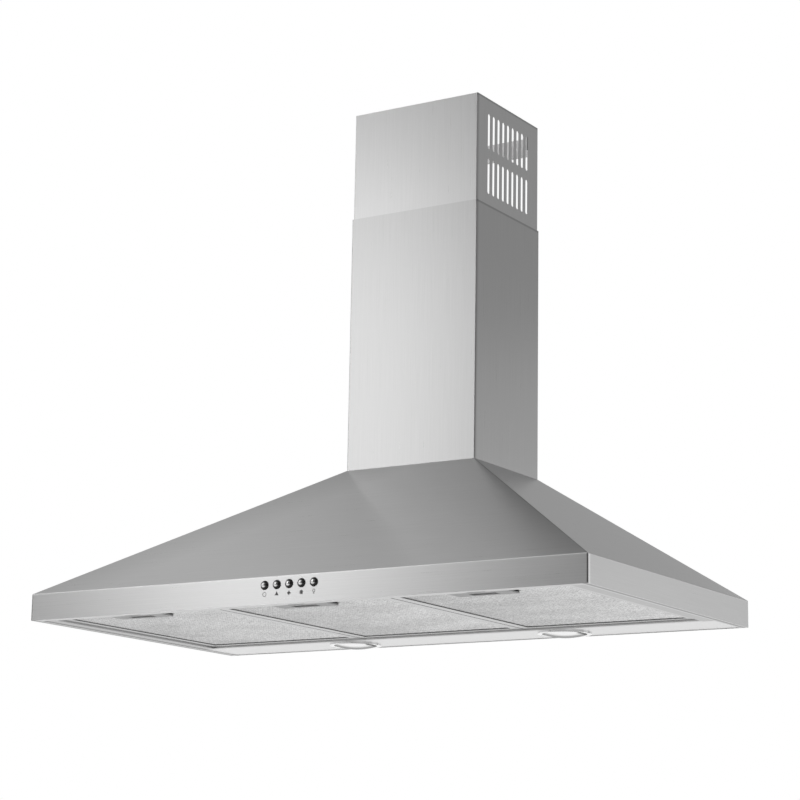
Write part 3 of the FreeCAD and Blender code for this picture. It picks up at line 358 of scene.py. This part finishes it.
def zinc_sheet(name):
    """Galvanised sheet with its crystal pattern."""
    material, tree, shader = new_material(name)
    shader.inputs["Metallic"].default_value = 1.0
    place = add(tree, "ShaderNodeTexCoord")
    cells = add(tree, "ShaderNodeTexVoronoi")
    cells.inputs["Scale"].default_value = CRYSTAL_SCALE
    link(tree, place.outputs["Object"], cells.inputs["Vector"])
    tone = add(tree, "ShaderNodeSeparateColor")
    link(tree, cells.outputs["Color"], tone.inputs["Color"])
    colour = ramp(tree, tone.outputs["Red"], *map(grey, ZINC_TONES), FULL_SPAN)
    link(tree, colour, shader.inputs["Base Color"])
    roughness = spread(tree, tone.outputs["Green"], *ZINC_ROUGHNESS)
    link(tree, roughness, shader.inputs["Roughness"])
    return material


def lamp_glass(name):
    """Frosted lens that glows, with faint rings round the lamp's axis, painted shade on its edges and
    painted shadows at its two ends.
    """
    low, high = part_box("lamp_right_lens")
    axis = (low + high) / 2
    radius = (high.x - low.x) / 2
    material, tree, shader = new_material(name)
    x, y, _ = own_axes(tree)
    across = calc(tree, "SUBTRACT", calc(tree, "ABSOLUTE", x), axis.x)
    reach = reach_of(tree, across, calc(tree, "SUBTRACT", y, axis.y))
    wave = calc(tree, "SINE", calc(tree, "MULTIPLY", reach, RING_RATE))
    colour = ramp(tree, wave, *map(grey, LENS_TONES), FULL_SPAN)
    link(tree, colour, shader.inputs["Base Color"])
    link(tree, colour, shader.inputs["Emission Color"])
    # Painted shade on the lens's edges, by the angle of view
    facing = add(tree, "ShaderNodeLayerWeight").outputs["Facing"]
    edge = fade(tree, facing, *LENS_EDGE, 1.0, LENS_EDGE_SHADE)
    # Painted shadows at the two ends of the lens
    outer = fade(tree, calc(tree, "DIVIDE", reach, radius), *END_SHADOW_REACH, 0.0, END_SHADOW_DARK)
    sideways = calc(tree, "DIVIDE", calc(tree, "ABSOLUTE", across), reach)
    notch = calc(tree, "MULTIPLY", outer, fade(tree, sideways, *END_SHADOW_TURN, 0.0, 1.0))
    clear = calc(tree, "MULTIPLY", edge, calc(tree, "SUBTRACT", 1.0, notch))
    shade(material, clear)
    link(tree, calc(tree, "MULTIPLY", clear, LENS_GLOW), shader.inputs["Emission Strength"])
    link(tree, calc(tree, "MULTIPLY", clear, LENS_GLOSS), shader.inputs["Specular IOR Level"])
    shader.inputs["Roughness"].default_value = LENS_ROUGHNESS
    bump(tree, shader, wave, LENS_RELIEF)
    return material


def painted_button_reflection(name):
    """Painted reflection for the row of buttons: a bright dished face in a dark rim."""
    low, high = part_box("button_1")
    centre = (low + high) / 2
    radius = (high.x - low.x) / 2
    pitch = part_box("button_2")[0].x - low.x
    material, tree, shader = new_material(name)
    shader.inputs["Metallic"].default_value = 1.0
    x, _, z = own_axes(tree)
    across = calc(tree, "PINGPONG", calc(tree, "SUBTRACT", x, centre.x), pitch / 2)
    above = calc(tree, "SUBTRACT", z, centre.z)
    share = calc(tree, "DIVIDE", reach_of(tree, across, above), radius)
    colour = ramp(tree, share, *map(grey, BUTTON_REFLECTION_TONES), BUTTON_RIM)
    link(tree, colour, shader.inputs["Base Color"])
    grain = object_noise(tree, BUTTON_GRAIN)
    link(tree, spread(tree, grain, *BUTTON_ROUGHNESS), shader.inputs["Roughness"])
    return material


def cover_painted_shade(material, name):
    """Painted shade as dark lines along the front corners of a chimney cover and the upper edges of its
    sides.
    """
    tree = material.node_tree
    low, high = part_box(name)
    x, y, z = own_axes(tree)
    inset = calc(tree, "SUBTRACT", high.x, calc(tree, "ABSOLUTE", x))
    behind = calc(tree, "SUBTRACT", y, low.y)
    reach = calc(tree, "ADD", behind, calc(tree, "MULTIPLY", inset, FOLD_NARROWING))
    shade(material, fade(tree, reach, 0.0, FOLD_WIDTH, FOLD_SHADE, 1.0))
    edge = fade(tree, z, high.z - EDGE_WIDTH, high.z - EDGE_WIDTH / 2, 0.0, EDGE_SHADE)
    side = fade(tree, inset, *SIDE_SHEET, 1.0, 0.0)
    shade(material, calc(tree, "SUBTRACT", 1.0, calc(tree, "MULTIPLY", edge, side)))


def canopy_painted_shade(tree, inset, z):
    """Painted shade as lines on the lip's corners and the ridges, a painted shadow along the hem, and a
    broad painted shade in from the ridges.
    """
    corner_rise = (SKIN, CORNER_PEAK)
    line = band(tree, inset, corner_rise, (CORNER_PEAK, CORNER_END), 1.0)
    depth = fade(tree, z, *LIP_FOLD, CORNER_SHADE, RIDGE_SHADE)
    above_hem = fade(tree, z, SKIN, HEM_TOP, 0.0, 1.0)
    fold_shade = calc(tree, "MULTIPLY", calc(tree, "MULTIPLY", line, depth), above_hem)
    broad = band(tree, inset, corner_rise, (CORNER_PEAK, SHADE_END), SHADE_DARK, "LINEAR")
    slopes = calc(tree, "MULTIPLY", broad, fade(tree, z, *LIP_FOLD, 0.0, 1.0))
    start, end = HEM_LINE
    hem_line = band(tree, inset, (start, start + HEM_BLEND), (end - HEM_BLEND, end), HEM_SHADOW)
    hem = calc(tree, "MULTIPLY", hem_line, fade(tree, z, SKIN, 2 * SKIN, 1.0, 0.0))
    return calc(tree, "ADD", calc(tree, "ADD", fold_shade, slopes), hem)


def canopy_painted_highlight(tree, inset, behind, z):
    """Painted highlights on the front edges of the sides, and on the rim where the lip turns into the
    slopes.
    """
    side = fade(tree, inset, 0.0, SKIN, SEAM_HIGHLIGHT, 0.0)
    seam = calc(tree, "MULTIPLY", side, fade(tree, behind, *SEAM_LINE, 1.0, 0.0))
    below, above = LIP_HEIGHT - SKIN, LIP_HEIGHT + SKIN
    rim = band(tree, z, (LIP_HEIGHT - RIM_WIDTH, below), (below, above), RIM_HIGHLIGHT)
    return calc(tree, "ADD", seam, rim)


def canopy_painted_light(material):
    """Painted shade as dark lines on ridges, corners and hem, and painted highlights as bright ones on the
    sides' seams and the rim.
    """
    tree = material.node_tree
    low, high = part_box("canopy")
    cover_low, cover_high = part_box("lower_chimney")
    x, y, z = own_axes(tree)
    half_width = fade(tree, z, LIP_HEIGHT, cover_low.z, high.x, cover_high.x, "LINEAR")
    inset = calc(tree, "SUBTRACT", half_width, calc(tree, "ABSOLUTE", x))
    behind = calc(tree, "SUBTRACT", y, low.y)
    glint = calc(tree, "ADD", canopy_painted_highlight(tree, inset, behind, z), 1.0)
    shade(material, calc(tree, "SUBTRACT", glint, canopy_painted_shade(tree, inset, z)))


def painted_gap_shade(material):
    """Painted shade on the cut sides, darker than the faces, so that the gaps between the frames read as
    lines.
    """
    tree = material.node_tree
    tilt = calc(tree, "ABSOLUTE", own_axes(tree, "Normal")[2])
    shade(material, fade(tree, tilt, *FRAME_SIDE_TILT, FRAME_SIDE_SHADE, 1.0))


def patches_and_painted_slant(material):
    """Broad patches, and a painted reflection as a slant across each filter, as a thin mesh that isn't
    quite flat would show.
    """
    tree = material.node_tree
    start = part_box("filter_1_frame")[0].x
    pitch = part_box("filter_2_frame")[0].x - start
    x = own_axes(tree)[0]
    share = calc(tree, "FRACT", calc(tree, "DIVIDE", calc(tree, "SUBTRACT", x, start), pitch))
    shade(material, fade(tree, share, *FULL_SPAN, *MESH_PAINTED_SLANT, "LINEAR"))
    patches = object_noise(tree, PATCH_SCALE, PATCH_DETAIL)
    shade(material, fade(tree, patches, *NOISE_SPAN, *MESH_PATCHES))


def tray_painted_light(material):
    """Painted light as a lighter strip behind the filters, and painted shade on the borders beside them.
    """
    tree = material.node_tree
    side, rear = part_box("filter_3_frame")[1].xy
    x, y, _ = own_axes(tree)
    out = calc(tree, "ABSOLUTE", x)
    border = fade(tree, out, side, side + TRAY_BORDER_BLEND, 1.0, TRAY_BORDER_SHADE)
    behind = fade(tree, y, rear, rear + TRAY_STRIP_BLEND, 0.0, 1.0)
    ahead = calc(tree, "SUBTRACT", 1.0, behind)
    strip = calc(tree, "MULTIPLY", behind, TRAY_STRIP_LIGHT)
    shade(material, calc(tree, "ADD", calc(tree, "MULTIPLY", border, ahead), strip))


# Sheet steel, with its grain along the canopy's sheets, along the tray and up the chimney covers
steel_canopy = metal("stainless_canopy", scale=(9, 9, 1100), level=0.52, contrast=0.02, roughness=BRUSHED)
# The lower cover's steel is a darker copy of the upper cover's: painted shade
steel_lower_shaded = metal("stainless_lower_shaded", scale=(1100, 1100, 9), level=0.48, contrast=0.02, roughness=BRUSHED)
steel_upper = metal("stainless_upper", scale=(1100, 1100, 9), level=0.55, contrast=0.02, roughness=BRUSHED)
steel_tray = metal("stainless_tray", scale=(6, 1800, 1800), level=0.56, contrast=0.012, roughness=BRUSHED)
canopy_painted_light(steel_canopy)
cover_painted_shade(steel_lower_shaded, "lower_chimney")
cover_painted_shade(steel_upper, "upper_chimney")
tray_painted_light(steel_tray)

# Filters
aluminium = metal(
    "filter_aluminium", scale=(6, 700, 700), level=0.62, contrast=0.04, roughness=(0.3, 0.42), relief=0.03,
)
strands = metal("filter_mesh", scale=(400, 150, 150), level=0.75, contrast=0.2, roughness=(0.3, 0.45))
# The layers behind the strands are a darker copy of the mesh's aluminium: painted shade among them
layers = metal(
    "filter_layers_shaded", scale=(420, 800, 300), level=0.4, contrast=0.2, roughness=(0.4, 0.6), relief=0.2,
)
painted_gap_shade(aluminium)
patches_and_painted_slant(strands)

# Fittings and what lies inside
zinc = zinc_sheet("zinc_steel")
bright = metal("bright_steel", scale=(220, 220, 220), level=0.6, contrast=0.05, roughness=(0.2, 0.32))
chrome = metal("chrome", scale=(60, 60, 60), level=0.72, contrast=0.03, roughness=(0.06, 0.12))
button_reflection_paint = painted_button_reflection("button_painted_reflection")
motor_paint = metal("motor_metal", scale=(160, 160, 900), level=0.42, contrast=0.06, roughness=(0.35, 0.5))
can = metal("capacitor_can", scale=(8, 8, 500), level=0.62, contrast=0.03, roughness=(0.25, 0.35))
shell = metal("lamp_shell", scale=(300, 300, 40), level=0.58, contrast=0.04, roughness=(0.3, 0.42))
black = moulded("black_plastic", (0.045, 0.045, 0.047), scale=900, contrast=0.3, roughness=(0.38, 0.55))
grey_plastic = moulded("grey_plastic", (0.3, 0.3, 0.31), scale=900, contrast=0.1, roughness=(0.4, 0.55))
latch_grey = moulded("latch_plastic", grey(0.5), scale=700, contrast=0.05, roughness=(0.35, 0.5))
module = moulded("lamp_module", (0.72, 0.71, 0.68), scale=500, contrast=0.06, roughness=(0.45, 0.6))
symbol_grey = moulded(
    "symbol_print", grey(0.14), scale=1500, contrast=0.2, roughness=(0.5, 0.65), relief=0.02,
)
glass = lamp_glass("lens_glass")

# What each slot of the record is finished in, and the nodes with a finish of their own
SLOT_FINISH = {
    "zinc_steel": zinc,
    "bright_steel": bright,
    "black_plastic": black,
    "grey_plastic": grey_plastic,
    "motor_metal": motor_paint,
    "capacitor_can": can,
    "chrome": chrome,
    "lens_glass": glass,
    "lamp_shell": shell,
    "lamp_module": module,
    "filter_aluminium": aluminium,
    "filter_mesh": layers,
    "latch_plastic": latch_grey,
}
NODE_FINISH = {
    "canopy": steel_canopy,
    "underside_tray": steel_tray,
    "lower_chimney": steel_lower_shaded,
    "upper_chimney": steel_upper,
}
NODE_FINISH.update({f"button_{number}": button_reflection_paint for number in BUTTONS})
SLOTS = {row["node"]: row["material_slot"] for row in frame["record"]["subparts"]}


def paint(obj, material):
    obj.data.materials.clear()
    obj.data.materials.append(material)


def finish_of(name):
    """The material of a CAD node, by its own name or by its slot in the record."""
    if name in NODE_FINISH:
        return NODE_FINISH[name]
    return SLOT_FINISH[SLOTS[name]]


for node_name, node in nodes.items():
    paint(node, finish_of(node_name))


def strand_points(low, high, notch):
    """Zigzag lines of the expanded metal, each a list of points, left open round the latch."""
    rows = int((high.y - low.y) / (DIAMOND_WIDTH / 2))
    columns = int((high.x - low.x) / (DIAMOND_LENGTH / 2))
    step = (high.x - low.x) / columns
    pitch = (high.y - low.y) / (rows + 1)
    for row in range(1, rows + 1):
        line = []
        for column in range(columns + 1):
            lift = pitch / 2 * (-1) ** (row + column)
            x = low.x + column * step
            y = low.y + row * pitch + lift
            if notch[0].x < x < notch[1].x and y < notch[1].y:
                yield line
                line = []
            else:
                line.append((x, y))
        yield line


def add_strand(line, top, verts, faces):
    """One strand of triangular section under a line of points, closed at both ends."""
    corners = 3
    first = len(verts)
    for x, y in line:
        verts.append((x, y - STRAND_WIDTH / 2, top))
        verts.append((x, y + STRAND_WIDTH / 2, top))
        verts.append((x, y - STRAND_WIDTH / 4, top - STRAND_DEPTH))
    last = len(verts) - corners
    for here in range(first, last, corners):
        there = here + corners
        for side in range(corners):
            other = (side + 1) % corners
            faces.append((here + side, here + other, there + other, there + side))
    faces.append((first + 2, first + 1, first))
    faces.append((last, last + 1, last + 2))


def expanded_metal(number):
    """The strands that show in one filter's window, on the face of its layers."""
    low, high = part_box(f"filter_{number}_mesh")
    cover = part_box(f"filter_{number}_latch_cover")
    edge = Vector((HEM_COVER, HEM_COVER, 0))
    gap = Vector((LATCH_CLEARANCE, LATCH_CLEARANCE, 0))
    notch = (cover[0] - gap, cover[1] + gap)
    verts, faces = [], []
    for line in strand_points(low + edge, high - edge, notch):
        if len(line) > 1:
            add_strand(line, low.z, verts, faces)
    mesh = bpy.data.meshes.new(f"filter_{number}_strands")
    mesh.from_pydata(verts, [], faces)
    mesh.update()
    obj = bpy.data.objects.new(f"filter_{number}_strands", mesh)
    scene.collection.objects.link(obj)
    paint(obj, strands)
    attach(obj, f"filter_{number}")


def latch_spring(number):
    """The latch's return spring, a copy of its part that rides with the filter."""
    name = f"filter_{number}_latch_spring"
    obj = bpy.data.objects.new(f"filter_{number}_return_spring", nodes[name].data.copy())
    scene.collection.objects.link(obj)
    paint(obj, bright)
    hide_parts(name)
    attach(obj, f"filter_{number}")
    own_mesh(obj)


def round_outline(x, y, radius):
    angles = [2 * math.pi / CIRCLE_STEPS * step for step in range(CIRCLE_STEPS)]
    return [(x + radius * math.cos(angle), y + radius * math.sin(angle)) for angle in angles]


def ring_outlines(x, y, radius):
    """Outer and inner outline of a ring as wide as the symbols' lines."""
    return [round_outline(x, y, radius), round_outline(x, y, radius - SYMBOL_LINE)]


def star_outline(x, y, points, outer, inner):
    """A star with one of its points at the top."""
    turn = math.pi / points
    radii = [outer, inner] * points
    return [
        (x + radius * math.sin(step * turn), y + radius * math.cos(step * turn))
        for step, radius in enumerate(radii)
    ]


def symbol_outlines(x, y):
    """Outlines of the five symbols: off ring, low, middle and high speed, lamp."""
    half = SYMBOL_SIZE / 2
    off = ring_outlines(x[0], y, half)
    foot = y - half * TRIANGLE_FOOT
    low = [(x[1], y + half), (x[1] - half, foot), (x[1] + half, foot)]
    middle = star_outline(x[2], y, MIDDLE_POINTS, half * STAR_REACH, half * MIDDLE_WAIST)
    high = star_outline(x[3], y, HIGH_POINTS, half * STAR_REACH, half * HIGH_WAIST)
    bulb = ring_outlines(x[4], y + half * BULB_RISE, half * BULB_RADIUS)
    left, right = x[4] - half * BULB_BASE_HALF, x[4] + half * BULB_BASE_HALF
    bottom = y - half
    top = bottom + half * BULB_BASE_HEIGHT
    base = [(left, bottom), (right, bottom), (right, top), (left, top)]
    return [*off, low, middle, high, *bulb, base]


def control_symbols():
    """The printed symbols, one under each button, a hair proud of the lip."""
    boxes = [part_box(f"button_{number}") for number in BUTTONS]
    across = [(low.x + high.x) / 2 for low, high in boxes]
    level = (boxes[0][0].z + boxes[0][1].z) / 2 - SYMBOL_DROP
    curve = bpy.data.curves.new("symbol_outlines", "CURVE")
    curve.dimensions = "2D"
    curve.fill_mode = "BOTH"
    curve.extrude = SYMBOL_RISE
    for outline in symbol_outlines(across, level):
        spline = curve.splines.new("POLY")
        spline.points.add(len(outline) - 1)
        for point, (x, z) in zip(spline.points, outline):
            point.co = (x, z, 0, 1)
        spline.use_cyclic_u = True
    drawn = bpy.data.objects.new("symbol_outlines", curve)
    scene.collection.objects.link(drawn)
    graph = bpy.context.evaluated_depsgraph_get()
    mesh = bpy.data.meshes.new_from_object(drawn.evaluated_get(graph))
    bpy.data.objects.remove(drawn)
    lip_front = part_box("canopy")[0].y
    upright = Matrix.Rotation(math.pi / 2, 4, "X")
    mesh.transform(Matrix.Translation((0, lip_front, 0)) @ upright)
    obj = bpy.data.objects.new("control_symbols", mesh)
    scene.collection.objects.link(obj)
    paint(obj, symbol_grey)
    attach(obj, "hood")


for number in FILTERS:
    expanded_metal(number)
    latch_spring(number)
control_symbols()


def make_camera():
    """The photograph's camera, which looks along its azimuth and elevation and leans by its roll."""
    azimuth = math.radians(CAMERA_AZIMUTH)
    elevation = math.radians(CAMERA_ELEVATION)
    roll = math.radians(CAMERA_ROLL)
    level = math.cos(elevation)
    back = Vector((math.sin(azimuth) * level, -math.cos(azimuth) * level, math.sin(elevation)))
    right = Vector((math.cos(azimuth), math.sin(azimuth), 0))
    up = back.cross(right)
    turn = Matrix((
        right * math.cos(roll) + up * math.sin(roll),
        up * math.cos(roll) - right * math.sin(roll),
        back,
    )).transposed()
    data = bpy.data.cameras.new("camera")
    data.lens = CAMERA_LENS
    data.sensor_width = CAMERA_SENSOR
    data.clip_end = CAMERA_REACH
    camera = bpy.data.objects.new("camera", data)
    camera.matrix_world = Matrix.Translation(CAMERA_PLACE) @ turn.to_4x4()
    scene.collection.objects.link(camera)
    scene.camera = camera


def seen_directly(tree):
    """1 for rays from the camera, in gloss and through glass, otherwise 0."""
    path = add(tree, "ShaderNodeLightPath")
    seen = path.outputs["Is Camera Ray"]
    for name in ("Is Glossy Ray", "Is Transmission Ray"):
        seen = calc(tree, "MAXIMUM", seen, path.outputs[name])
    return seen


def make_world():
    """White where it is seen, and a soft even light elsewhere."""
    world = bpy.data.worlds.new("studio")
    world.use_nodes = True
    scene.world = world
    tree = world.node_tree
    background = tree.nodes["Background"]
    background.inputs["Color"].default_value = WHITE
    strength = spread(tree, seen_directly(tree), AMBIENT, 1.0)
    link(tree, strength, background.inputs["Strength"])


def flat_panel(name, centre, wide, tall, facing):
    """A rectangle that faces the given direction."""
    mesh = bpy.data.meshes.new(name)
    x, y = wide / 2, tall / 2
    mesh.from_pydata([(-x, -y, 0), (x, -y, 0), (x, y, 0), (-x, y, 0)], [], [(0, 1, 2, 3)])
    panel = bpy.data.objects.new(name, mesh)
    turn = Vector(facing).to_track_quat("Z", "Y")
    panel.matrix_world = Matrix.Translation(centre) @ turn.to_matrix().to_4x4()
    scene.collection.objects.link(panel)
    return panel


def see_through_back(tree, shader):
    """Keep a panel's front, and let its back show what lies behind it."""
    side = add(tree, "ShaderNodeNewGeometry")
    clear = add(tree, "ShaderNodeBsdfTransparent")
    mix = add(tree, "ShaderNodeMixShader")
    link(tree, side.outputs["Backfacing"], mix.inputs[0])
    link(tree, shader.outputs["BSDF"], mix.inputs[1])
    link(tree, clear.outputs["BSDF"], mix.inputs[2])
    link(tree, mix.outputs["Shader"], tree.nodes["Material Output"].inputs["Surface"])


def make_floor():
    """Pale floor that keeps the shadow, fades to white far off and hides nothing from below."""
    floor = flat_panel("floor", (0, 0, FLOOR_LEVEL), FLOOR_SIZE, FLOOR_SIZE, UPWARD)
    paper = moulded(
        "floor_paper", grey(FLOOR_TONE), scale=2, contrast=0.02, roughness=(0.7, 0.85), relief=0.0,
    )
    tree = paper.node_tree
    shader = tree.nodes["Principled BSDF"]
    shader.inputs["Emission Color"].default_value = WHITE
    place = add(tree, "ShaderNodeTexCoord")
    reach = add(tree, "ShaderNodeVectorMath", operation="LENGTH")
    link(tree, place.outputs["Object"], reach.inputs[0])
    far_glow = fade(tree, reach.outputs["Value"], *FLOOR_FADE, *FLOOR_GLOW, "LINEAR")
    glow = calc(tree, "MULTIPLY", far_glow, seen_directly(tree))
    link(tree, glow, shader.inputs["Emission Strength"])
    see_through_back(tree, shader)
    paint(floor, paper)


def make_card(name, centre, wide, tall, facing, level):
    """A grey studio card that shows only in reflections."""
    card = flat_panel(name, centre, wide, tall, facing)
    card.visible_camera = False
    card.visible_shadow = False
    card.visible_diffuse = False
    material, _, shader = new_material(name)
    shader.inputs["Base Color"].default_value = BLACK
    shader.inputs["Roughness"].default_value = 1.0
    shader.inputs["Specular IOR Level"].default_value = 0.0
    shader.inputs["Emission Color"].default_value = (*grey(level), 1)
    shader.inputs["Emission Strength"].default_value = 1.0
    paint(card, material)


def make_light(name, place, target, wide, tall, power):
    """A soft rectangle of light that faces its target."""
    data = bpy.data.lights.new(name, "AREA")
    data.shape = "RECTANGLE"
    data.size = wide
    data.size_y = tall
    data.energy = power
    light = bpy.data.objects.new(name, data)
    direction = Vector(target) - Vector(place)
    turn = direction.to_track_quat("-Z", "Y")
    light.matrix_world = Matrix.Translation(place) @ turn.to_matrix().to_4x4()
    scene.collection.objects.link(light)


make_camera()
make_world()
make_floor()
for card in CARDS:
    make_card(*card)
make_light("key", KEY_PLACE, KEY_TARGET, *KEY_SIZE, KEY_POWER)
